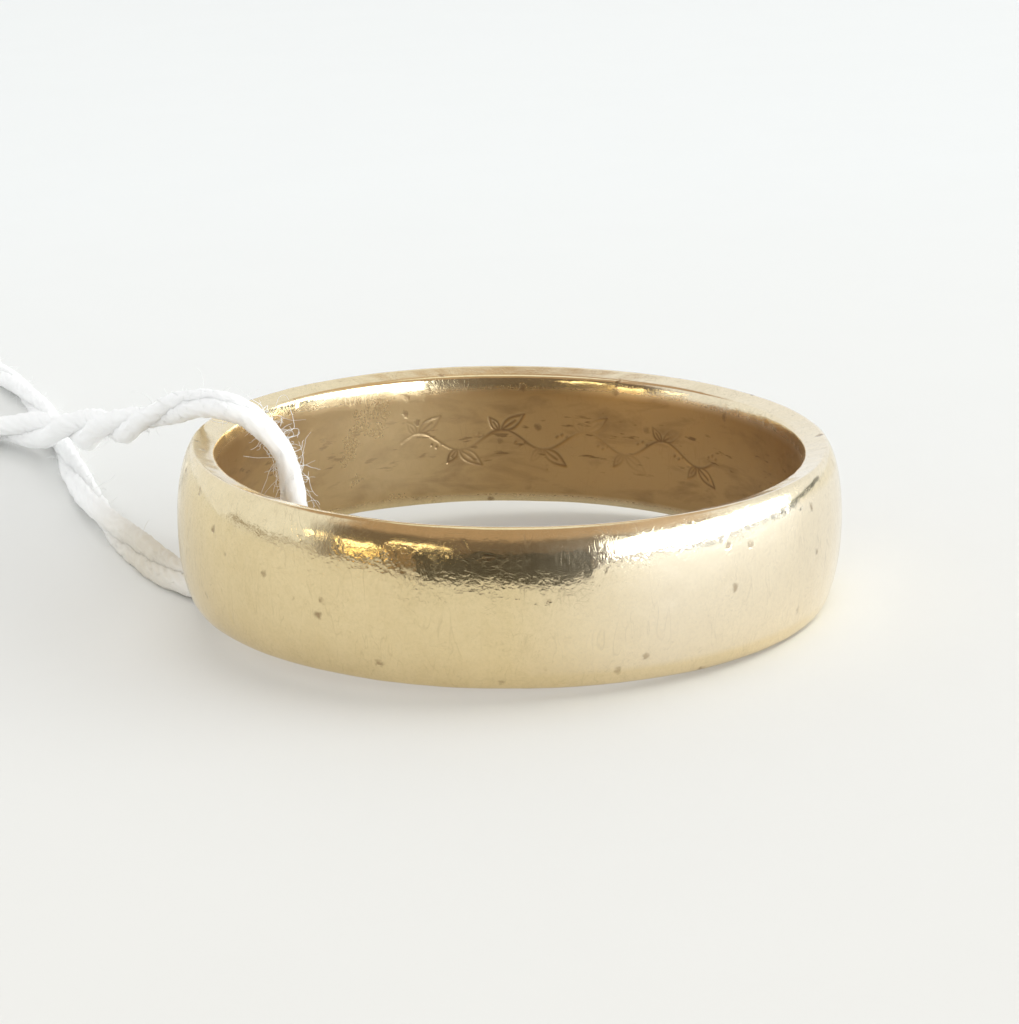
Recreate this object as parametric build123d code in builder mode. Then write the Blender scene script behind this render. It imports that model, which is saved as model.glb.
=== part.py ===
from build123d import *
import math
import os

# A plain D-section wedding band and the cotton tag string looped through it.
# Millimetres. The origin is the centre of the bore and +Z is the band's axis.

# ---------------------------------------------------------------- driving dimensions
BORE_D = 18.2  # inside diameter
BAND_WIDTH = 4.84  # along the axis, between the crests of the two rims
WALL_CROWN = 1.3  # wall at mid-width, where the dome is highest
DOME_RISE = 0.68  # radial half axis of the ellipse that the dome is part of
DOME_HALF = 2.5  # its half axis along the bore
RIM_SLOPE = 16.5  # degrees by which each rim falls inwards, from its crest to the bore
CREST_R = 0.12  # rounding of each crest, between rim and dome
FLARE_R = 2.6  # each end of the bore opens out on this radius,
FLARE_RISE = 0.12  # by this much, for an easy fit over the knuckle
BORE_EASE = 0.1  # rounding between the flare and each rim

STRING_D = 0.85  # twisted cotton
STRING_GAP = 0.06  # least space between the string and the band
RUN_SHARE = 0.45  # share of the shorter run that each arc of the string takes up

KNOT_LENGTH = 3.2
KNOT_D = 2.3
KNOT_END_R = 0.62  # radius of the knot's blunt ends
KNOT_AXIS = Vector(-0.9, 0.43, 0)  # the way the string runs into the knot
TAIL_D = 0.8

# ---------------------------------------------------------------- worked-out dimensions
bore_r = BORE_D / 2
half_width = BAND_WIDTH / 2
dome_r = bore_r + WALL_CROWN - DOME_RISE
crest_angle = math.degrees(math.asin(half_width / DOME_HALF))
crest_r = dome_r + DOME_RISE * math.cos(math.radians(crest_angle))
flare_end_r = bore_r + FLARE_RISE
rim_foot = half_width - (crest_r - flare_end_r) * math.tan(math.radians(RIM_SLOPE))
bore_half = rim_foot - math.sqrt(FLARE_R**2 - (FLARE_R - FLARE_RISE) ** 2)

# The band lies on its lower rim with the string squeezed under the -X side, so the table
# falls away towards -X in the band's own frame.
table_drop = (STRING_D + STRING_GAP) / (2 * crest_r - STRING_D / 4)


def table_z(x):
    """Height of the table under the point x."""
    return -half_width + (x - crest_r) * table_drop


# The string's centre line: out of the knot, up over the upper rim, down inside the bore,
# out under the lower rim and back to the knot. The two strands cross once on the table.
ROUTE = [
    (-28.4, 36.0, -3.52),
    (-27.3, 33.7, -3.74),
    (-25.6, 30.6, -3.65),
    (-23.3, 27.1, -3.53),
    (-21.0, 23.9, -3.38),
    (-18.7, 21.1, -2.80),
    (-16.9, 18.2, -2.03),
    (-15.4, 15.0, -1.20),
    (-14.0, 11.6, -0.25),
    (-12.6, 8.4, 0.80),
    (-11.4, 5.4, 1.90),
    (-10.3, 2.9, 2.82),
    (-9.1, 1.2, 3.20),
    (-7.9, 0.4, 2.92),
    (-7.05, 0.0, 2.05),
    (-6.75, -0.1, 0.70),
    (-6.75, -0.15, -0.70),
    (-7.0, -0.1, -1.79),
    (-7.65, 0.0, -2.57),
    (-8.8, 0.4, -2.89),
    (-10.4, 1.9, -2.90),
    (-12.2, 5.2, -3.00),
    (-14.2, 10.1, -3.10),
    (-15.9, 15.7, -3.18),
    (-17.4, 21.7, -3.26),
    (-19.1, 27.5, -3.34),
    (-21.0, 32.4, -3.42),
    (-23.4, 36.0, -3.52),
    (-26.0, 37.8, -3.60),
    (-28.4, 37.3, -3.52),
]

# The knot's two cut ends, from inside the knot out over the table.
TAILS = [
    [(-29.8, 36.9, -3.2), (-31.4, 37.6, -3.66), (-33.2, 37.6, -4.0)],
    [(-29.6, 37.2, -3.3), (-30.5, 38.6, -3.7), (-31.1, 40.2, -3.9)],
]
TAIL_RADIUS = 2.6


def arc_radii(points):
    """The largest arc at each corner that leaves a short straight on both sides."""
    radii = []
    for before, here, after in zip(points, points[1:], points[2:]):
        run_in = Vector(*here) - Vector(*before)
        run_out = Vector(*after) - Vector(*here)
        half_turn = math.radians(run_in.get_angle(run_out)) / 2
        radii.append(RUN_SHARE * min(run_in.length, run_out.length) / math.tan(half_turn))
    return radii


os.makedirs("parts", exist_ok=True)

# ---------------------------------------------------------------- the band
with BuildPart() as band:
    with BuildSketch(Plane.XZ):
        with BuildLine():
            dome = EllipticalCenterArc(
                (dome_r, 0), DOME_RISE, DOME_HALF, start_angle=-crest_angle, arc_size=2 * crest_angle
            )
            upper_rim = Line(dome @ 1, (flare_end_r, rim_foot))
            lower_rim = Line((flare_end_r, -rim_foot), dome @ 0)
            bore = Line((bore_r, -bore_half), (bore_r, bore_half))
            TangentArc(bore @ 1, upper_rim @ 1, tangent=(0, 1))
            TangentArc(bore @ 0, lower_rim @ 0, tangent=(0, -1))
        make_face()
        fillet(vertices().group_by(Axis.X)[1], BORE_EASE)
        fillet(vertices().group_by(Axis.X)[-1], CREST_R)
    revolve(axis=Axis.Z)
band.part.label = "band"

# ---------------------------------------------------------------- the string
radii = arc_radii(ROUTE)
with BuildPart() as tag_string:
    with BuildLine() as route:
        FilletPolyline(*ROUTE, radius=radii)
    with BuildSketch(Plane(origin=route.line @ 0, z_dir=route.line % 0)):
        Circle(STRING_D / 2)
    sweep()
tag_string.part.label = "tag_string"

# ---------------------------------------------------------------- the knot
knot_centre = Vector(-29.2, 36.8, table_z(-29.2) + KNOT_D / 2)
knot_plane = Plane(origin=knot_centre, x_dir=KNOT_AXIS, z_dir=(0, 0, 1))
knot_end = (KNOT_LENGTH / 2, KNOT_END_R)
with BuildPart() as string_knot:
    with BuildSketch(knot_plane):
        with BuildLine():
            crown = ThreePointArc((-knot_end[0], knot_end[1]), (0, KNOT_D / 2), knot_end)
            Polyline(crown @ 1, (knot_end[0], 0), (-knot_end[0], 0), crown @ 0)
        make_face()
    revolve(axis=Axis(knot_centre, KNOT_AXIS))
    for tail in TAILS:
        with BuildLine() as tail_line:
            FilletPolyline(*tail, radius=TAIL_RADIUS)
        with BuildSketch(Plane(origin=tail_line.line @ 0, z_dir=tail_line.line % 0)):
            Circle(TAIL_D / 2)
        sweep(path=tail_line.wire())
string_knot.part.label = "string_knot"

for piece in (band, tag_string, string_knot):
    export_step(piece.part, f"parts/{piece.part.label}.step")

string_length = route.wire().length
print("string arcs, mm:", [round(r, 2) for r in radii])
print("string length, mm:", round(string_length, 2))
print(
    "string volume over section times length:",
    round(tag_string.part.volume / (math.pi * STRING_D**2 / 4 * string_length), 5),
)
print("band volume, mm3:", round(band.part.volume, 1))
print("gap between string and band, mm:", round(band.part.distance_to(tag_string.part), 3))
print("table drop per mm:", round(table_drop, 4))
print("straight bore, mm:", round(2 * bore_half, 3))
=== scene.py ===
import math

import bpy
import numpy as np
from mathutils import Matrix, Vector
from mathutils.kdtree import KDTree


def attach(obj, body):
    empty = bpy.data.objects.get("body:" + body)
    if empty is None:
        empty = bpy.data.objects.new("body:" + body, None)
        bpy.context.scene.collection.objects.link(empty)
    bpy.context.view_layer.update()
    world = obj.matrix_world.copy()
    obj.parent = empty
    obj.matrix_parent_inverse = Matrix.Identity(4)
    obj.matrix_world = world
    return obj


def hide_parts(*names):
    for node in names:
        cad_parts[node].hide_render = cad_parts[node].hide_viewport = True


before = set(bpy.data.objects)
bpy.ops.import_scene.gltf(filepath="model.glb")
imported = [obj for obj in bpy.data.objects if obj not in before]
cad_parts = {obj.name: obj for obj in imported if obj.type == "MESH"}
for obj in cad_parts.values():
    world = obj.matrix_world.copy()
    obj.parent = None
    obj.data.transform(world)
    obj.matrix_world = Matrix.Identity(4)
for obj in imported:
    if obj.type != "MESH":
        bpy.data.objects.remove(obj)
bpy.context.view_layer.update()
scene = bpy.context.scene
MM = 0.001

# ------------------------------------------------------------------ sizes, in millimetres
BORE_R = 9.1
HALF_WIDTH = 2.42  # from the band's middle to the crest of a rim
DOME_R, DOME_RISE, DOME_HALF = 9.72, 0.68, 2.5  # the ellipse that the dome is part of
RIM_SLOPE = math.radians(16.5)
FLARE_R, FLARE_RISE = 2.6, 0.12  # how the ends of the bore open out
CORNER_R = 0.10

SECTION_STEP, BORE_STEP = 0.055, 0.032
WAVE_LONG, WAVE_SHORT = (3.0, 0.005), (0.8, 0.0014)  # how long and how high the polish waves
DENTS, DENT_SIZE, DENT_DEPTH = 150, (0.07, 0.20), (0.005, 0.016)
ORNAMENT_SPAN = math.radians(-27), math.radians(51)  # round the back of the bore
VINE_WAVE, VINE_HEIGHT = 2.9, 0.34
GROOVE_HALF, GROOVE_DEPTH = 0.04, 0.028
# The sets of scratches: how the grain of each is turned, and its scale on each axis, per metre.
HAIRLINES = [
    ((0.2, 0.0, 0.1), (1500, 1500, 260)),
    ((0.6, 0.4, 0.5), (2400, 2000, 420)),
    ((-0.7, 0.3, -0.7), (700, 5200, 2600)),
    ((1.2, 0.6, 1.2), (5200, 900, 2600)),
    ((0.0, 0.9, 2.0), (3000, 600, 4200)),
]

TABLE_DROP = 0.0465  # the table's fall towards -X, per mm
CAMERA_PLACE, CAMERA_LOOK, LENS = (0, -92.03, 26.45), (0, 0.9611, -0.2761), 106.96

CREST_ANGLE = math.asin(HALF_WIDTH / DOME_HALF)
CREST_R = DOME_R + DOME_RISE * math.cos(CREST_ANGLE)

PLY_R, PLY_OFFSET, PLY_SIDES = 0.325, 0.165, 42
YARNS, YARN_TURN, YARN_RELIEF, LUMP_HEIGHT = 7, 5.0, 0.028, 0.010
# Turns of the plies by the distance along the string. Then where they have come loose: the
# middle of each stretch, its reach, and how much looser it is.
PLY_TURNS = (0, 20, 33, 52, 66, 94), (0, 1.3, 2.45, 3.6, 4.05, 5.6)
LOOSE = [(16.0, 7.0, 0.9), (26.5, 4.5, 1.0), (58.0, 5.5, 0.6)]
LONG_FIBRES, SHORT_FIBRES, KNOT_FIBRES = 260, 1700, 70
FIBRE_R, FIBRE_STEPS = (0.007, 0.012), 12
KNOT_PLACE, KNOT_HEIGHT, KNOT_AXIS = (-29.2, 36.8), 1.15, (-0.9, 0.43, 0)
KNOT_LENGTH, KNOT_R, KNOT_WRAPS, KNOT_PLY_R = 3.2, 0.70, 1.5, 0.27
TAILS = [
    [(-29.8, 36.9, -3.2), (-31.4, 37.6, -3.66), (-33.2, 37.6, -4.0)],
    [(-29.6, 37.2, -3.3), (-30.5, 38.6, -3.7), (-31.1, 40.2, -3.9)],
]

# Finishes. The roughness of the polish runs from POLISH up to POLISH + POLISH_SPREAD.
# GOLD_PAINTED_HIGHLIGHT is the pale gold of a painted highlight on the window's side, towards +X.
GOLD_DEEP, GOLD_BRIGHT, GOLD_PAINTED_HIGHLIGHT = (0.67, 0.533, 0.29), (0.895, 0.745, 0.46), (0.95, 0.90, 0.84)
TARNISH, STAIN = (0.455, 0.288, 0.120), (0.22, 0.135, 0.065)
POLISH, POLISH_SPREAD, HAZE = 0.06, 0.10, 0.42
BUMP_HEIGHT, PIT_SHAKE, HAIR_WIDTH = 0.00001, 0.00025, 0.014
COTTON_SHADE, COTTON_WHITE = (0.92, 0.925, 0.925), (0.985, 0.985, 0.985)
# COTTON_PAINTED_SHADE is the warm grey of painted shade on the strand by the band.
COTTON_PAINTED_SHADE = (0.60, 0.54, 0.43)
# The table's colours in front and behind; between them runs a painted shade, darker and warmer in
# front.
TABLE_NEAR_SHADED = (0.775, 0.765, 0.735), (0.79, 0.78, 0.75)
TABLE_FAR_LIT = (0.815, 0.83, 0.825), (0.83, 0.845, 0.84)

TABLE = 1500  # half its side
WORLD_LOW, WORLD_HIGH = (1.33, 1.36, 1.37), (0.50, 0.49, 0.47)
# What the gold reflects: the radius and the colours of the room round it.
ROOM_R = 1300
ROOM_PALE, ROOM_DARK = (1.0, 1.06, 1.18), (0.15, 0.11, 0.08)
ROOM_BROWN, ROOM_TOP = (0.50, 0.36, 0.25), (1.12, 1.17, 1.20)
ROOM_GLOW = (0.68, 0.54, 0.42)

# The string's centre line, out of the knot, through the band and back.
ROUTE = [
    (-28.4, 36.0, -3.52),
    (-27.3, 33.7, -3.74),
    (-25.6, 30.6, -3.65),
    (-23.3, 27.1, -3.53),
    (-21.0, 23.9, -3.38),
    (-18.7, 21.1, -2.80),
    (-16.9, 18.2, -2.03),
    (-15.4, 15.0, -1.20),
    (-14.0, 11.6, -0.25),
    (-12.6, 8.4, 0.80),
    (-11.4, 5.4, 1.90),
    (-10.3, 2.9, 2.82),
    (-9.1, 1.2, 3.20),
    (-7.9, 0.4, 2.92),
    (-7.05, 0.0, 2.05),
    (-6.75, -0.1, 0.70),
    (-6.75, -0.15, -0.70),
    (-7.0, -0.1, -1.79),
    (-7.65, 0.0, -2.57),
    (-8.8, 0.4, -2.89),
    (-10.4, 1.9, -2.90),
    (-12.2, 5.2, -3.00),
    (-14.2, 10.1, -3.10),
    (-15.9, 15.7, -3.18),
    (-17.4, 21.7, -3.26),
    (-19.1, 27.5, -3.34),
    (-21.0, 32.4, -3.42),
    (-23.4, 36.0, -3.52),
    (-26.0, 37.8, -3.60),
    (-28.4, 37.3, -3.52),
]


def table_z(x):
    """Height of the table under the point x, in millimetres."""
    return -HALF_WIDTH + (x - CREST_R) * TABLE_DROP


def add_object(name, data):
    made = bpy.data.objects.new(name, data)
    scene.collection.objects.link(made)
    return made


def mesh_object(name, vertices, faces, material=None, smooth=True):
    """A mesh piece from points in millimetres."""
    mesh = bpy.data.meshes.new(name)
    mesh.from_pydata([tuple(MM * c for c in v) for v in vertices], [], faces)
    mesh.polygons.foreach_set("use_smooth", [smooth] * len(mesh.polygons))
    if material:
        mesh.materials.append(material)
    mesh.update()
    return add_object(name, mesh)


# ------------------------------------------------------------------ camera
camera_data = bpy.data.cameras.new("camera")
camera_data.lens = LENS
camera_data.sensor_width = 36
camera_data.clip_start = 0.005
camera = add_object("camera", camera_data)
camera.location = Vector(CAMERA_PLACE) * MM
camera.rotation_mode = "QUATERNION"
camera.rotation_quaternion = Vector(CAMERA_LOOK).to_track_quat("-Z", "Y")
scene.camera = camera


# ------------------------------------------------------------------ materials
def node(tree, kind, inputs=None, **settings):
    """A shader node. Each input is given a value, a colour or another node's output."""
    made = tree.nodes.new(kind)
    for name, value in settings.items():
        setattr(made, name, value)
    for name, value in (inputs or {}).items():
        if isinstance(value, bpy.types.NodeSocket):
            tree.links.new(value, made.inputs[name])
        else:
            made.inputs[name].default_value = value
    return made


def ramp(tree, factor, *stops):
    """A colour ramp from (place, colour) stops."""
    made = node(tree, "ShaderNodeValToRGB", {"Fac": factor})
    elements = made.color_ramp.elements
    while len(elements) < len(stops):
        elements.new(0.5)
    for element, (place, colour) in zip(elements, stops):
        element.position = place
        element.color = (*colour, 1) if len(colour) == 3 else colour
    return made.outputs["Color"]


def grey(value):
    return (value, value, value)


def new_material(name):
    material = bpy.data.materials.new(name)
    material.use_nodes = True
    tree = material.node_tree
    return material, tree, tree.nodes["Principled BSDF"]


def maths(tree, operation, first, *others, clamp=False):
    """A maths operation on two values, or on more, one after another."""
    for other in others or (0.0,):
        made = node(tree, "ShaderNodeMath", {0: first, 1: other}, operation=operation)
        made.use_clamp = clamp
        first = made.outputs[0]
    return first


def mix(tree, factor, first, second):
    made = node(tree, "ShaderNodeMix", {"Factor": factor}, data_type="RGBA")
    for socket, value in ((made.inputs[6], first), (made.inputs[7], second)):
        if isinstance(value, bpy.types.NodeSocket):
            tree.links.new(value, socket)
        else:
            socket.default_value = (*value, 1)
    return made.outputs[2]


def noise(tree, place, scale, detail=3.0, roughness=0.55, distortion=0.0):
    settings = {
        "Vector": place,
        "Scale": scale,
        "Detail": detail,
        "Roughness": roughness,
        "Distortion": distortion,
    }
    return node(tree, "ShaderNodeTexNoise", settings).outputs["Fac"]


def mapped(tree, place, **inputs):
    """The place moved, turned or scaled, to shift or stretch the noise that is read there."""
    return node(tree, "ShaderNodeMapping", {"Vector": place, **inputs}).outputs["Vector"]


def attribute(tree, name):
    return node(tree, "ShaderNodeAttribute", attribute_name=name).outputs["Fac"]


def coordinates(tree, kind):
    return node(tree, "ShaderNodeTexCoord").outputs[kind]


def pits(tree, place):
    """Ragged pits in the middle of a few cells, where the place is shaken by a fine noise."""
    shake = node(tree, "ShaderNodeTexNoise", {"Vector": place, "Scale": 7000.0, "Detail": 2.0})
    moved = {0: shake.outputs["Color"], 1: (PIT_SHAKE, PIT_SHAKE, PIT_SHAKE), 2: place}
    shaken = node(tree, "ShaderNodeVectorMath", moved, operation="MULTIPLY_ADD").outputs["Vector"]
    cells = node(
        tree, "ShaderNodeTexVoronoi", {"Vector": shaken, "Scale": 1500.0, "Randomness": 1.0}
    ).outputs
    middle = ramp(tree, cells["Distance"], (0.10, grey(1)), (0.24, grey(0)))
    chosen = ramp(tree, cells["Color"], (0.69, grey(0)), (0.74, grey(1)))
    return maths(tree, "MULTIPLY", middle, chosen)


def hairlines(tree, place):
    """Fine scratches: a stretched noise crosses its middle value along thin lines."""
    found = []
    for number, (turn, stretch) in enumerate(HAIRLINES):
        field = noise(tree, mapped(tree, place, Rotation=turn, Scale=stretch), 1.0, 2, 0.5)
        line = maths(tree, "ABSOLUTE", maths(tree, "SUBTRACT", field, 0.5))
        line = ramp(tree, line, (0.0, grey(1)), (HAIR_WIDTH, grey(0)))
        # Each set shows only in patches of its own.
        patchy = noise(tree, mapped(tree, place, Location=(number, 0, 0)), 900, 2)
        patchy = ramp(tree, patchy, (0.48, grey(0)), (0.66, grey(1)))
        found.append(maths(tree, "MULTIPLY", line, patchy))
    return maths(tree, "MAXIMUM", *found)


def bore_stain(tree, place, bore, aside):
    """Dark streaks round the bore, and short dashes along its middle."""
    streaks = noise(tree, mapped(tree, place, Scale=(420, 420, 1150)), 1.0, 5, 0.6, 0.4)
    streaks = ramp(tree, streaks, (0.52, grey(0)), (0.70, grey(1)))
    dashes = noise(tree, mapped(tree, place, Scale=(1100, 1100, 4600)), 1.0, 3, 0.55)
    dashes = ramp(tree, dashes, (0.60, grey(0)), (0.68, grey(1)))
    middle = ramp(tree, aside, (0.35, grey(0.8)), (0.60, grey(0)))
    streaks = maths(tree, "MULTIPLY", streaks, bore, 0.5)
    return maths(tree, "MAXIMUM", streaks, maths(tree, "MULTIPLY", dashes, middle, bore))


def gold_colour(tree, place, haze, bore, aside, across, stain):
    """Mottled gold, paler towards +X where a highlight from the window is painted, brown in the
    bore and dark in its stains.
    """
    fine = noise(tree, place, 2600, 3, 0.6)
    mottle = maths(
        tree, "ADD", maths(tree, "MULTIPLY", haze, 0.55), maths(tree, "MULTIPLY", fine, 0.45)
    )
    metal = mix(tree, mottle, GOLD_DEEP, GOLD_BRIGHT)
    # Painted highlight: the gold is mixed paler towards +X, on the window's side, and less so near
    # the rims.
    painted_highlight = ramp(tree, maths(tree, "MULTIPLY", across, 100), (0.0, grey(0)), (0.45, grey(0.40)))
    dome = ramp(tree, aside, (0.90, grey(1)), (1.10, grey(0.4)))
    metal = mix(tree, maths(tree, "MULTIPLY", painted_highlight, dome), metal, GOLD_PAINTED_HIGHLIGHT)
    metal = mix(tree, maths(tree, "MULTIPLY", bore, 0.95), metal, TARNISH)
    return mix(tree, stain, metal, STAIN)


def gold_height(tree, place, bore, aside, hairs, pit):
    """How high the worn surface stands: patches of fine grain, waves, scratches and pits."""
    grain = noise(tree, place, 8500, 2, 0.5)
    patchy = ramp(tree, noise(tree, place, 1300, 3), (0.40, grey(0.35)), (0.62, grey(1)))
    dome = ramp(tree, aside, (0.80, grey(1)), (0.98, grey(0.3)))
    smoother = maths(tree, "SUBTRACT", 1.0, maths(tree, "MULTIPLY", bore, 0.75))
    height = maths(tree, "MULTIPLY", grain, 0.75, patchy, dome, smoother)
    height = maths(tree, "ADD", height, maths(tree, "MULTIPLY", hairs, -0.09))
    height = maths(tree, "SUBTRACT", height, maths(tree, "MULTIPLY", pit, 0.8))
    return maths(tree, "ADD", height, maths(tree, "MULTIPLY", noise(tree, place, 2300, 2), 0.55))


def gold_material():
    """Pale 9 carat gold, polished and then worn: scratches, pits, tarnish and a soft haze."""
    material, tree, shader = new_material("worn_gold")
    place = coordinates(tree, "Object")
    axes = node(tree, "ShaderNodeSeparateXYZ", {"Vector": place}).outputs
    # How far a point is from the band's middle, across its width: 1 at 2 mm.
    aside = maths(tree, "MULTIPLY", maths(tree, "ABSOLUTE", axes["Z"]), 500)
    # How much of the bore's tarnish, roughness and haze a point takes; less round x = -4.5 mm,
    # where a highlight is painted.
    bore = attribute(tree, "bore")
    haze = noise(tree, place, 420, 4)
    hairs = hairlines(tree, place)
    pit = pits(tree, place)
    stain = maths(
        tree,
        "MAXIMUM",
        bore_stain(tree, place, bore, aside),
        maths(tree, "MULTIPLY", attribute(tree, "engraved"), 0.9),
        maths(tree, "MULTIPLY", pit, 0.66),
    )
    dirt = maths(tree, "MAXIMUM", stain, maths(tree, "MULTIPLY", hairs, 0.12))
    metal = gold_colour(tree, place, haze, bore, aside, axes["X"], dirt)
    tree.links.new(metal, shader.inputs["Base Color"])

    rough = maths(tree, "ADD", maths(tree, "MULTIPLY", haze, POLISH_SPREAD), POLISH)
    rough = maths(tree, "ADD", rough, maths(tree, "MULTIPLY", hairs, 0.12))
    rough = maths(tree, "ADD", rough, maths(tree, "MULTIPLY", bore, 0.26))
    rough = maths(tree, "ADD", rough, maths(tree, "MULTIPLY", dirt, 0.20), clamp=True)
    tree.links.new(rough, shader.inputs["Roughness"])

    height = gold_height(tree, place, bore, aside, hairs, pit)
    bump = node(
        tree, "ShaderNodeBump", {"Height": height, "Strength": 1.0, "Distance": BUMP_HEIGHT}
    ).outputs["Normal"]
    tree.links.new(bump, shader.inputs["Normal"])
    shader.inputs["Metallic"].default_value = 1.0

    # A thin haze of finer scratches spreads the brightest reflections.
    spread = {"Base Color": metal, "Normal": bump, "Metallic": 1.0, "Roughness": HAZE}
    haze_shader = node(tree, "ShaderNodeBsdfPrincipled", spread)
    share = ramp(tree, noise(tree, place, 9500, 3, 0.6), (0.42, grey(0.09)), (0.68, grey(0.16)))
    share = maths(tree, "ADD", share, maths(tree, "MULTIPLY", hairs, 0.08))
    share = maths(tree, "ADD", share, maths(tree, "MULTIPLY", bore, 0.22))
    lobes = {0: share, 1: shader.outputs[0], 2: haze_shader.outputs[0]}
    both = node(tree, "ShaderNodeMixShader", lobes)
    tree.links.new(both.outputs[0], tree.nodes["Material Output"].inputs["Surface"])
    return material


def cotton_material():
    """Bleached cotton: fine fibres along each yarn, and a soft matt surface."""
    material, tree, shader = new_material("bleached_cotton")
    along = coordinates(tree, "UV")
    fine = noise(tree, mapped(tree, along, Scale=(2.2, 60.0, 1.0)), 1.0, 3, 0.6, 0.4)
    wool = noise(tree, coordinates(tree, "Object"), 5000, 3, 0.6)
    both = maths(tree, "MULTIPLY", maths(tree, "ADD", wool, fine), 0.5)
    colour = mix(tree, both, COTTON_SHADE, COTTON_WHITE)
    # Painted shade on the strand that comes out from under the band.
    colour = mix(tree, attribute(tree, "painted_shade"), colour, COTTON_PAINTED_SHADE)
    tree.links.new(colour, shader.inputs["Base Color"])
    bump = node(tree, "ShaderNodeBump", {"Height": both, "Strength": 0.6, "Distance": 0.00004})
    tree.links.new(bump.outputs["Normal"], shader.inputs["Normal"])
    rough = ramp(tree, both, (0.2, grey(0.95)), (0.8, grey(0.75)))
    tree.links.new(rough, shader.inputs["Roughness"])
    shader.inputs["Specular IOR Level"].default_value = 0.2
    shader.inputs["Sheen Weight"].default_value = 0.25
    shader.inputs["Sheen Roughness"].default_value = 0.5
    shader.inputs["Subsurface Weight"].default_value = 0.5
    shader.inputs["Subsurface Radius"].default_value = (1.0, 1.0, 1.0)
    shader.inputs["Subsurface Scale"].default_value = 0.00025
    return material


def emitter_material(name, colour):
    """A surface that only glows, in that colour."""
    material = bpy.data.materials.new(name)
    material.use_nodes = True
    tree = material.node_tree
    tree.nodes.clear()
    glow = node(tree, "ShaderNodeEmission", {"Color": (*colour, 1), "Strength": 1.0})
    out = node(tree, "ShaderNodeOutputMaterial")
    tree.links.new(glow.outputs[0], out.inputs["Surface"])
    return material


def table_material():
    """A matt white top, faintly mottled, with painted shade: a little warmer and darker in front,
    on the camera's side.
    """
    material, tree, shader = new_material("white_table")
    place = coordinates(tree, "Object")
    mottle = noise(tree, place, 160, 4, 0.6)
    # Painted shade: from behind to the front the table turns darker and warmer.
    back = node(tree, "ShaderNodeSeparateXYZ", {"Vector": place}).outputs["Y"]
    back = maths(tree, "ADD", maths(tree, "MULTIPLY", back, 9.0), 0.30, clamp=True)
    near = mix(tree, mottle, *TABLE_NEAR_SHADED)
    far = mix(tree, mottle, *TABLE_FAR_LIT)
    tree.links.new(mix(tree, back, near, far), shader.inputs["Base Color"])
    shader.inputs["Roughness"].default_value = 0.8
    shader.inputs["Specular IOR Level"].default_value = 0.15
    return material


gold = gold_material()
cotton = cotton_material()


# ------------------------------------------------------------------ the band
def evenly(points, step):
    """The same line with points about that far apart."""
    points = np.asarray(points, float)
    run = run_along(points)
    at = np.linspace(0, run[-1], max(2, round(run[-1] / step) + 1))
    return np.stack([np.interp(at, run, c) for c in points.T], 1)


def run_along(points):
    """The distance along a line to each of its points."""
    return np.concatenate([[0], np.cumsum(np.linalg.norm(np.diff(points, axis=0), axis=1))])


def waves(points, length, seed, count=48):
    """A smooth random field of about unit size, whose bumps are about that long."""
    rng = np.random.default_rng(seed)
    way = rng.normal(size=(points.shape[1], count))
    way *= 2 * math.pi / length / np.linalg.norm(way, axis=0)
    way *= rng.uniform(0.6, 1.4, count)
    return np.cos(points @ way + rng.uniform(0, 2 * math.pi, count)).sum(1) * math.sqrt(2 / count)


def band_section():
    """The band's section once round from the bore's middle, with its corners softened."""
    flare_end = BORE_R + FLARE_RISE
    rim_foot = HALF_WIDTH - (CREST_R - flare_end) * math.tan(RIM_SLOPE)
    flare_turn = math.acos(1 - FLARE_RISE / FLARE_R)
    bore_half = rim_foot - FLARE_R * math.sin(flare_turn)
    flare = [
        (BORE_R + FLARE_R * (1 - math.cos(a)), bore_half + FLARE_R * math.sin(a))
        for a in np.linspace(0, flare_turn, 24)
    ]
    dome = [
        (DOME_R + DOME_RISE * math.cos(a), DOME_HALF * math.sin(a))
        for a in np.linspace(CREST_ANGLE, -CREST_ANGLE, 161)
    ]
    half = [(BORE_R, 0.0)] + flare
    line = evenly(half + dome + [(r, -z) for r, z in reversed(half)], 0.01)[:-1]
    reach = round(CORNER_R / 0.01)
    weights = np.hanning(2 * reach + 3)[1:-1]
    weights /= weights.sum()
    soft = sum(w * np.roll(line, k - reach, axis=0) for k, w in enumerate(weights))
    closed = np.vstack([soft, soft[:1]])
    # Rows are closer together in the bore, where the ornament is.
    run = run_along(closed)
    step = np.where(closed[:, 0] < BORE_R + 0.02, 1 / BORE_STEP, 1 / SECTION_STEP)
    count = np.concatenate([[0], np.cumsum(np.diff(run) * (step[1:] + step[:-1]) / 2)])
    at = np.linspace(0, count[-1], round(count[-1]) + 1)[:-1]
    return np.stack([np.interp(at, count, c) for c in closed.T], 1)


def column_angles():
    """Angles round the band from the front, closer together behind the ornament."""
    fine = BORE_STEP / BORE_R
    coarse = SECTION_STEP / BORE_R
    low, high = math.pi - ORNAMENT_SPAN[1], math.pi - ORNAMENT_SPAN[0]
    inside = np.arange(low, high, fine)
    outside = np.arange(inside[-1] + fine, low + 2 * math.pi - coarse / 2, coarse)
    return np.concatenate([inside, outside])


def leaf(foot, lean, length, width):
    """A pointed leaf: two bowed sides and a short vein."""
    t = np.linspace(0, 1, 40)
    ahead = np.array([math.cos(lean), math.sin(lean)])
    side = np.array([-ahead[1], ahead[0]])
    bow = np.sin(math.pi * t**0.8) * width / 2
    foot = np.asarray(foot)
    left = foot + np.outer(t * length, ahead) + np.outer(bow, side)
    right = foot + np.outer(t * length, ahead) - np.outer(bow, side)
    vein = foot + np.outer(t * length * 0.6, ahead)
    return [left, right, vein]


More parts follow.
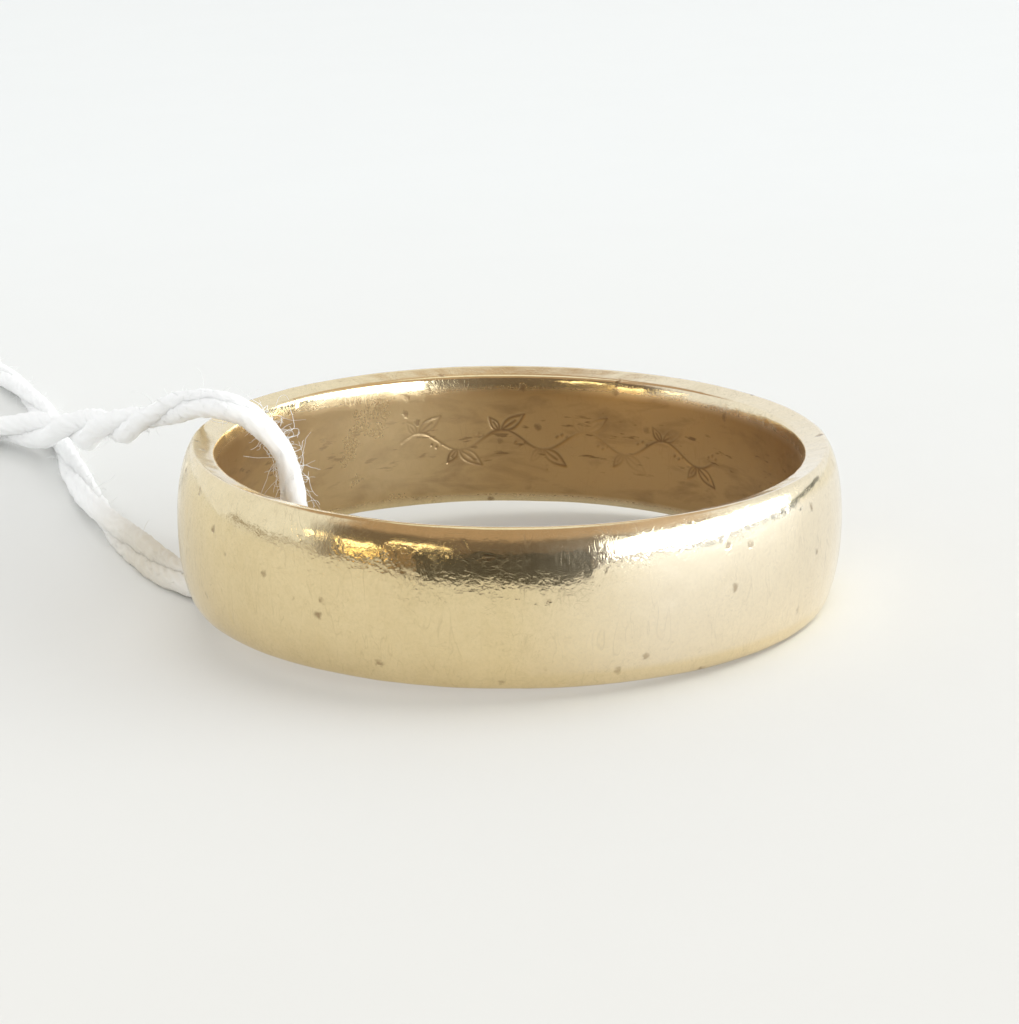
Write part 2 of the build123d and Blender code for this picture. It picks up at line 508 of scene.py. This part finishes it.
def ornament_strokes():
    """A running vine: a waving stem with two leaves and three berries at each wave."""
    reach = (ORNAMENT_SPAN[1] - ORNAMENT_SPAN[0]) * BORE_R / 2 - 0.5
    s = np.linspace(-reach, reach, 600)
    stem = np.stack([s, VINE_HEIGHT * np.sin(2 * math.pi * s / VINE_WAVE)], 1)
    strokes = [stem]
    for k in range(-9, 10):
        at = (k + 0.5) * VINE_WAVE / 2
        if abs(at) > reach - 0.4:
            continue
        side = 1 if k % 2 == 0 else -1
        foot = (at, VINE_HEIGHT * side)
        strokes += leaf(foot, side * 0.62, 0.95, 0.36)
        strokes += leaf((at - 0.1, VINE_HEIGHT * side * 0.95), side * 2.2, 0.55, 0.24)
        for number in range(3):
            spot = np.array([at + 0.45 + 0.17 * number, -side * (0.20 - 0.09 * abs(number - 1))])
            strokes.append(np.stack([spot, spot + 0.03]))
    return strokes


def dome_dents(points):
    """How far each point sinks in the small oval dents that are scattered over the dome."""
    depths = np.zeros(len(points))
    rng = np.random.default_rng(11)
    for _ in range(DENTS):
        a, z = rng.uniform(0, 2 * math.pi), rng.uniform(-2.0, 2.0)
        r = DOME_R + DOME_RISE * math.sqrt(1 - (z / DOME_HALF) ** 2)
        centre = np.array([r * math.sin(a), -r * math.cos(a), z])
        size, depth, tilt = rng.uniform(*DENT_SIZE), rng.uniform(*DENT_DEPTH), rng.uniform(0, 3)
        near = np.abs(points - centre).max(1) < 3 * size
        away = points[near] - centre
        east = away @ np.array([math.cos(a), math.sin(a), 0])
        long = east * math.cos(tilt) + away[:, 2] * math.sin(tilt)
        short = away[:, 2] * math.cos(tilt) - east * math.sin(tilt)
        depths[near] += depth * np.exp(-((long / size) ** 2) - (short / size * 2) ** 2)
    return depths


def engraving(points, angles, radius):
    """How deeply each point is engraved, from 0 to 1. The ornament is worn away unevenly."""
    marks = np.vstack([evenly(stroke, 0.02) for stroke in ornament_strokes()])
    tree = KDTree(len(marks))
    for number, (s, z) in enumerate(marks):
        tree.insert((s, z, 0), number)
    tree.balance()
    middle = (ORNAMENT_SPAN[0] + ORNAMENT_SPAN[1]) / 2
    reach = (ORNAMENT_SPAN[1] - ORNAMENT_SPAN[0]) * BORE_R / 2
    around = (math.pi - angles - middle) * BORE_R
    depths = np.zeros(len(points))
    for i in np.nonzero((radius < BORE_R + 0.02) & (np.abs(around) < reach))[0]:
        gap = tree.find((around[i], points[i, 2], 0))[2]
        depths[i] = math.exp(-((gap / GROOVE_HALF) ** 2)) if gap < 0.2 else 0.0
    return depths * np.clip(0.62 + 0.4 * waves(points, 2.2, 5), 0.15, 1.0)


def bore_tarnish_and_painted_highlight(points, radius):
    """How much tarnish each point of the bore takes, and none past its ends. It is less on the
    left, round x = -4.5 mm, as a painted highlight where the window's reflection falls.
    """
    fade = np.where(points[:, 2] < 0, 0.09, 0.06)
    bore_weight = np.clip((BORE_R + fade - radius) / 0.055, 0, 1)
    # Painted highlight: less tarnish, so paler gold, round x = -4.5 mm on the bore's left side.
    return bore_weight * (1 - 0.38 * np.exp(-(((points[:, 0] + 4.5) / 3.4) ** 2)))


def band_shape():
    """The band's points and faces, with how engraved each point is, and how much tarnish it takes,
    less where a highlight is painted in the bore.
    """
    section = band_section()
    angles = column_angles()
    rows, columns = len(section), len(angles)
    ahead = np.roll(section, -1, axis=0) - np.roll(section, 1, axis=0)
    ahead /= np.linalg.norm(ahead, axis=1)[:, None]
    outward = np.stack([-ahead[:, 1], ahead[:, 0]], 1)
    if outward[np.argmax(section[:, 0]), 0] < 0:
        outward = -outward
    turned = np.repeat(angles, rows)
    sine, cosine = np.sin(turned), -np.cos(turned)
    radius, height = np.tile(section, (columns, 1)).T
    out_r, out_z = np.tile(outward, (columns, 1)).T
    points = np.stack([sine * radius, cosine * radius, height], 1)
    normal = np.stack([sine * out_r, cosine * out_r, out_z], 1)

    lift = WAVE_LONG[1] * waves(points, WAVE_LONG[0], 3)
    lift += WAVE_SHORT[1] * waves(points, WAVE_SHORT[0], 4)
    engraved = engraving(points, turned, radius)
    lift -= dome_dents(points) + GROOVE_DEPTH * engraved
    points = points + normal * lift[:, None]

    index = np.arange(columns * rows).reshape(columns, rows)
    following = np.roll(index, -1, axis=0)
    faces = np.stack(
        [index, np.roll(index, -1, axis=1), np.roll(following, -1, axis=1), following], 2
    ).reshape(-1, 4)
    return points, faces, engraved, bore_tarnish_and_painted_highlight(points, radius)


def make_band():
    points, faces, engraved, bore_weight = band_shape()
    made = mesh_object("gold_band", points, faces.tolist(), gold)
    for name, values in (("engraved", engraved), ("bore", bore_weight)):
        made.data.attributes.new(name, "FLOAT", "POINT").data.foreach_set("value", values)
    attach(made, "ring")
    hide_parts("band")


make_band()


# ------------------------------------------------------------------ the string
def nurbs_points():
    """Points along the string's line, read from the spline itself, in millimetres."""
    curve = bpy.data.curves.new("string_line", "CURVE")
    curve.dimensions = "3D"
    curve.resolution_u = 24
    spline = curve.splines.new("NURBS")
    spline.points.add(len(ROUTE) - 1)
    for point, place in zip(spline.points, ROUTE):
        point.co = (*(MM * c for c in place), 1)
    spline.order_u = 3
    spline.use_endpoint_u = True
    line = bpy.data.objects.new("string_line", curve)
    mesh = bpy.data.meshes.new_from_object(line)
    found = np.array([v.co for v in mesh.vertices]) / MM
    bpy.data.objects.remove(line)
    return found


def frames_along(points):
    """Side and up vectors at each point, turning as little as they can."""
    ahead = np.gradient(points, axis=0)
    ahead /= np.linalg.norm(ahead, axis=1)[:, None]
    side = np.cross(ahead[0], (0, 0, 1))
    sides = []
    for a in ahead:
        side = side - a * side.dot(a)
        side /= np.linalg.norm(side)
        sides.append(side)
    sides = np.array(sides)
    return sides, np.cross(sides, ahead)


def wound(points, offsets, angle):
    """A line wound round another one."""
    side, up = frames_along(points)
    angle = angle[:, None]
    return points + offsets[:, None] * (np.cos(angle) * side + np.sin(angle) * up)


def tube(points, radii, sides):
    """Points, faces and UVs of a closed tube. radii has one value per point, or per corner."""
    side, up = frames_along(points)
    ring = np.arange(sides) * 2 * math.pi / sides
    radii = radii if radii.ndim == 2 else np.repeat(radii[:, None], sides, 1)
    across = np.cos(ring)[None, :, None] * side[:, None]
    across = across + np.sin(ring)[None, :, None] * up[:, None]
    verts = (points[:, None] + radii[:, :, None] * across).reshape(-1, 3)
    run = run_along(points)
    index = np.arange(len(points) * sides).reshape(-1, sides)
    beside = np.roll(index, -1, axis=1)
    faces = np.stack([index[:-1], beside[:-1], beside[1:], index[1:]], 2).reshape(-1, 4).tolist()
    corner = np.arange(sides) / sides
    low = np.repeat(run[:-1, None], sides, 1)
    high = np.repeat(run[1:, None], sides, 1)
    left = np.repeat(corner[None], len(run) - 1, 0)
    right = left + 1 / sides
    uvs = np.stack([low, left, low, right, high, right, high, left], 2).reshape(-1, 2)
    caps = [index[0, ::-1].tolist(), index[-1].tolist()]
    ends = np.array([[run[0], 0.5]] * sides + [[run[-1], 0.5]] * sides)
    return verts, faces + caps, np.vstack([uvs, ends])


def join_tubes(name, tubes, material):
    """One mesh piece from several tubes."""
    verts, faces, uvs, base = [], [], [], 0
    for v, f, u in tubes:
        verts.append(v)
        faces.extend([[base + i for i in face] for face in f])
        uvs.append(u)
        base += len(v)
    made = mesh_object(name, np.vstack(verts), faces, material)
    layer = made.data.uv_layers.new(name="along")
    layer.data.foreach_set("uv", np.vstack(uvs).reshape(-1))
    return made


def lumps(run, seed):
    """Small lumps all over a ply, for each of its points and corners."""
    corner = np.arange(PLY_SIDES) * 2 * math.pi / PLY_SIDES
    places = np.stack(
        [
            np.repeat(run[:, None], PLY_SIDES, 1),
            0.25 * np.repeat(np.cos(corner)[None], len(run), 0),
            0.25 * np.repeat(np.sin(corner)[None], len(run), 0),
        ],
        2,
    )
    return LUMP_HEIGHT * waves(places.reshape(-1, 3), 0.7, seed).reshape(len(run), PLY_SIDES)


def plies(line, turns, spread, seed, radius=PLY_R):
    """Two soft plies wound round a line, each with its yarns showing as shallow ridges.

    spread is how loose the string is at each point, from 0 to 1.
    """
    made = []
    run = run_along(line)
    corner = np.arange(PLY_SIDES) * 2 * math.pi / PLY_SIDES
    for ply in range(2):
        offsets = PLY_OFFSET * (1 + 1.1 * spread) * (1 + 0.08 * waves(line, 3.0, seed + ply, 12))
        centre = wound(line, offsets, turns + math.pi * ply)
        phase = -2 * math.pi * run / YARN_TURN + 0.5 * waves(line, 2.5, seed + 10 + ply, 12)
        ridge = np.abs(np.cos(YARNS * (corner[None] - phase[:, None]) / 2))
        size = radius * (1 + 0.26 * spread) * (1 + 0.035 * waves(line, 1.6, seed + 20 + ply, 12))
        relief = YARN_RELIEF * (1 + spread)[:, None]
        radii = size[:, None] - relief + relief * ridge + lumps(run, seed + 30 + ply)
        shape = tube(centre, radii, PLY_SIDES)
        # The plies flatten where they lie on the table.
        shape[0][:, 2] = np.maximum(shape[0][:, 2], table_z(shape[0][:, 0]) + 0.01)
        made.append(shape)
    return made


def fibre(start, way, length, rng):
    """A fine loose fibre that curls as it goes."""
    step = length / FIBRE_STEPS
    points = [np.array(start)]
    heading = way / np.linalg.norm(way)
    curl = rng.normal(size=3) * 1.3
    for _ in range(FIBRE_STEPS):
        points.append(points[-1] + step * heading)
        curl = curl + rng.normal(size=3) * 0.6
        heading = heading + curl * 0.42
        heading /= np.linalg.norm(heading)
    points = np.array(points)
    return tube(points, np.linspace(1.0, 0.6, len(points)) * rng.uniform(*FIBRE_R), 3)


def fuzz(line, count, where, seed, lengths):
    """Loose fibres that stand off the string. where says how thick they are along the line."""
    rng = np.random.default_rng(seed)
    side, up = frames_along(line)
    ahead = np.gradient(line, axis=0)
    made = []
    for i in rng.choice(len(line), count, p=where / where.sum()):
        a = rng.uniform(0, 2 * math.pi)
        out = math.cos(a) * side[i] + math.sin(a) * up[i]
        start = line[i] + out * rng.uniform(0.28, 0.42)
        way = 0.5 * out + ahead[i] * rng.normal() * 9 + rng.normal(size=3) * 0.4
        made.append(fibre(start, way, rng.uniform(*lengths), rng))
    return made


def clear_of_things(tubes):
    """Only the fibres that stay out of the gold and the table."""
    kept = []
    for shape in tubes:
        verts = shape[0]
        radius = np.hypot(verts[:, 0], verts[:, 1])
        in_band = (radius > BORE_R - 0.05) & (radius < DOME_R + DOME_RISE + 0.05)
        in_band &= np.abs(verts[:, 2]) < HALF_WIDTH + 0.03
        if not in_band.any() and (verts[:, 2] > table_z(verts[:, 0]) + 0.03).all():
            kept.append(shape)
    return kept


def make_string():
    """The twisted string along its route, with the fibres that have come loose in the bore."""
    path = nurbs_points()
    line = evenly(path, 0.1)
    run = run_along(line)
    turns = 2 * math.pi * np.interp(run, PLY_TURNS[0], PLY_TURNS[1])
    spread = np.zeros(len(line))
    for middle, reach, growth in LOOSE:
        spread += growth * np.exp(-(((run - middle) / reach) ** 2))
    tubes = plies(line, turns, spread, 40)
    in_bore = np.exp(-(((line[:, 0] + 6.9) / 1.6) ** 2) - ((line[:, 1]) / 2.5) ** 2)
    tubes += clear_of_things(fuzz(line, LONG_FIBRES, 0.03 + in_bore, 70, (0.5, 1.6)))
    tubes += clear_of_things(fuzz(line, SHORT_FIBRES, 0.5 + in_bore, 71, (0.2, 0.5)))
    made = join_tubes("twisted_string", tubes, cotton)
    # Painted shade: the strand that comes out from under the band is darkened to a warm grey, as
    # in the band's shadow and the gold's warm light.
    places = np.array([v.co for v in made.data.vertices]) / MM
    painted_shade = 0.9 * np.exp(-(((places[:, 1] - 4.5) / 4.5) ** 2)) * (places[:, 2] < -1.9)
    made.data.attributes.new("painted_shade", "FLOAT", "POINT").data.foreach_set("value", painted_shade)
    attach(made, "tag_loop")
    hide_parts("tag_string")


def smooth_line(points, step):
    """A smooth line that passes through the points."""
    points = np.asarray(points, float)
    ends = np.vstack([2 * points[0] - points[1], points, 2 * points[-1] - points[-2]])
    t = np.linspace(0, 1, 24, endpoint=False)[:, None]
    parts = []
    for a, b, c, d in zip(ends, ends[1:], ends[2:], ends[3:]):
        parts.append(
            0.5
            * (
                2 * b
                + (c - a) * t
                + (2 * a - 5 * b + 4 * c - d) * t**2
                + (3 * b - a - 3 * c + d) * t**3
            )
        )
    return evenly(np.vstack(parts + [points[-1:]]), step)


def make_knot():
    """Both strands wrap round themselves in a barrel knot, and end in short frayed tails."""
    centre = np.array([KNOT_PLACE[0], KNOT_PLACE[1], table_z(KNOT_PLACE[0]) + KNOT_HEIGHT])
    axis = np.array(KNOT_AXIS)
    axis /= np.linalg.norm(axis)
    across = np.cross(axis, (0, 0, 1))
    across /= np.linalg.norm(across)
    upward = np.cross(across, axis)
    tubes, fibres = [], []
    ends = (ROUTE[0], ROUTE[-1])
    for strand in range(2):
        sign = 1 if strand == 0 else -1
        t = np.linspace(0, 1, 26)
        angle = 2 * math.pi * KNOT_WRAPS * t + math.pi * strand
        along = (0.5 - t) * (KNOT_LENGTH - 1.0) + 0.16 * sign
        swell = KNOT_R * (1 - 0.22 * (2 * t - 1) ** 2)
        wraps = (
            centre
            + np.outer(along, axis)
            + np.outer(swell * np.cos(angle), across)
            + np.outer(swell * np.sin(angle), upward)
        )
        start = np.array(ends[strand])
        inside = centre - axis * 0.4 + across * 0.25 * sign
        turn = centre + axis * (KNOT_LENGTH / 2 - 0.35) + across * 0.35 * sign
        back = centre - axis * 0.2 - upward * 0.1
        tail = [np.array(p) for p in TAILS[strand]]
        points = [start, start * 0.5 + inside * 0.5, inside, turn, *wraps, back, *tail]
        line = smooth_line(points, 0.06)
        run = run_along(line)
        spread = np.zeros(len(line))
        tubes += plies(line, 2 * math.pi * run / 9.0, spread, 50 + strand, KNOT_PLY_R)
        near_end = np.exp(-(((run - run[-1]) / 0.5) ** 2)) + 0.02
        fibres += fuzz(line, KNOT_FIBRES, near_end, 80 + strand, (0.3, 1.1))
    made = join_tubes("tied_knot", tubes + clear_of_things(fibres), cotton)
    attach(made, "tag_loop")
    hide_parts("string_knot")


make_knot()
make_string()


# ------------------------------------------------------------------ table and lights
def make_table():
    """A large flat top under the band and the string."""
    corners = ((-TABLE, -TABLE), (TABLE, -TABLE), (TABLE, TABLE), (-TABLE, TABLE))
    top = [(x, y, table_z(x)) for x, y in corners]
    mesh_object("table", top, [(0, 1, 2, 3)], table_material(), False)


def towards(azimuth, elevation):
    """A direction. Azimuth 0 is towards the camera's side, and 90 is +X."""
    a, e = math.radians(azimuth), math.radians(elevation)
    return Vector((math.sin(a) * math.cos(e), -math.cos(a) * math.cos(e), math.sin(e)))


def light(name, azimuth, elevation, distance, size, radiance, colour=(1, 1, 1)):
    """A soft rectangular light, in millimetres, turned to the band and never reflected."""
    data = bpy.data.lights.new(name, "AREA")
    data.shape = "RECTANGLE"
    data.size, data.size_y = size[0] * MM, size[1] * MM
    data.energy = radiance * math.pi * data.size * data.size_y
    data.color = colour
    made = add_object(name, data)
    made.visible_glossy = False
    way = towards(azimuth, elevation)
    made.location = way * distance * MM
    made.rotation_mode = "QUATERNION"
    made.rotation_quaternion = way.to_track_quat("Z", "Y")


def card(name, azimuth, elevation, distance, size, colour, centre=(0, 0, 0)):
    """A card that only shows in reflections, such as a strip light or the dark camera itself."""
    way = towards(azimuth, elevation)
    across = Vector((math.cos(math.radians(azimuth)), math.sin(math.radians(azimuth)), 0))
    upward = way.cross(across)
    middle = Vector(centre) + way * distance
    corners = [
        middle + across * (sx * size[0] / 2) + upward * (sy * size[1] / 2)
        for sx, sy in ((-1, -1), (1, -1), (1, 1), (-1, 1))
    ]
    made = mesh_object(name, corners, [(0, 1, 2, 3)], emitter_material(name, colour), False)
    only_reflected(made)


def ease(low, high, value):
    """0 up to low, 1 from high, and smooth between them."""
    t = min(max((value - low) / (high - low), 0), 1)
    return t * t * (3 - 2 * t)


def blend(first, second, share):
    return tuple(a + (b - a) * share for a, b in zip(first, second))


def room_colour(azimuth, elevation):
    """Pale walls at the sides and behind, a dark low front, and brown under a pale ceiling."""
    aside = ease(72, 95, azimuth) if azimuth > 0 else ease(58, 76, -azimuth)
    brown = blend(ROOM_BROWN, ROOM_GLOW, ease(25, 75, azimuth))
    front = blend(ROOM_DARK, brown, ease(24, 32, elevation))
    wall = blend(ROOM_PALE, brown, ease(40, 50, elevation))
    return blend(blend(front, wall, aside), ROOM_TOP, ease(62, 72, elevation))


def make_room():
    """A dome that only reflections see. The light on the table comes from the plain world."""
    azimuths = range(-180, 180, 4)
    elevations = range(-8, 91, 2)
    points, colours = [], []
    for a in azimuths:
        for e in elevations:
            points.append(towards(a, e) * ROOM_R)
            colours.append((*room_colour(a, e), 1))
    rows, columns = len(elevations), len(azimuths)
    faces = []
    for c in range(columns):
        here, beside = c * rows, (c + 1) % columns * rows
        faces += [(here + k, beside + k, beside + k + 1, here + k + 1) for k in range(rows - 1)]
    material = emitter_material("room_walls", (1, 1, 1))
    tree = material.node_tree
    painted = node(tree, "ShaderNodeAttribute", attribute_name="paint").outputs["Color"]
    tree.links.new(painted, tree.nodes["Emission"].inputs["Color"])
    made = mesh_object("room_dome", points, faces, material, False)
    layer = made.data.color_attributes.new("paint", "FLOAT_COLOR", "POINT")
    layer.data.foreach_set("color", np.array(colours).reshape(-1))
    only_reflected(made)


def only_reflected(made):
    """Leave a stage piece for the gold's reflections alone."""
    made.visible_camera = False
    made.visible_diffuse = False
    made.visible_shadow = False
    made.visible_transmission = False


def make_world():
    """Plain pale light from all round, stronger from the sides than from above."""
    world = bpy.data.worlds.new("plain")
    scene.world = world
    world.use_nodes = True
    tree = world.node_tree
    way = coordinates(tree, "Generated")
    height = node(tree, "ShaderNodeSeparateXYZ", {"Vector": way}).outputs["Z"]
    sky = ramp(tree, height, (0.0, WORLD_LOW), (1.0, WORLD_HIGH))
    tree.links.new(sky, tree.nodes["Background"].inputs["Color"])
    scene.view_settings.view_transform = "Standard"


make_table()
# These light the scene, and the cards and the room below stand for them in reflections.
light("window", 71, 8.5, 800, (1160, 385), 7.4, (0.97, 1.0, 1.0))
light("ceiling_light", 170, 78, 800, (560, 460), 1.25)
light("front_fill", -10, 42, 800, (400, 400), 1.0)
card("window_glow", 71, 14.9, 700, (1015, 192), (11.0, 12.2, 14.0))
card("camera_body", -1, 5.5, 31, (41, 11.5), (0.04, 0.035, 0.025), (-1.8, -10, 0))
card("strip", -31, 15, 600, (175, 10), (10.0, 8.6, 5.2))
card("lamp_top", -51.5, 9.5, 600, (130, 15), (8.0, 6.8, 3.9))
card("lamp_low", -50, 4, 600, (150, 16), (5.0, 3.7, 1.6))
card("lamp_side", -42.5, 7, 600, (14, 50), (3.5, 2.6, 1.0))
card("small_strip", -69, 10, 600, (75, 12), (9.0, 7.8, 5.0))
card("warm_corner", -37, 6, 590, (80, 110), (0.27, 0.18, 0.10))
card("sill", 98, 5.0, 600, (900, 52), (0.05, 0.05, 0.05))
card("skirting", -88, -0.5, 600, (480, 22), (0.30, 0.24, 0.15))
make_room()
make_world()
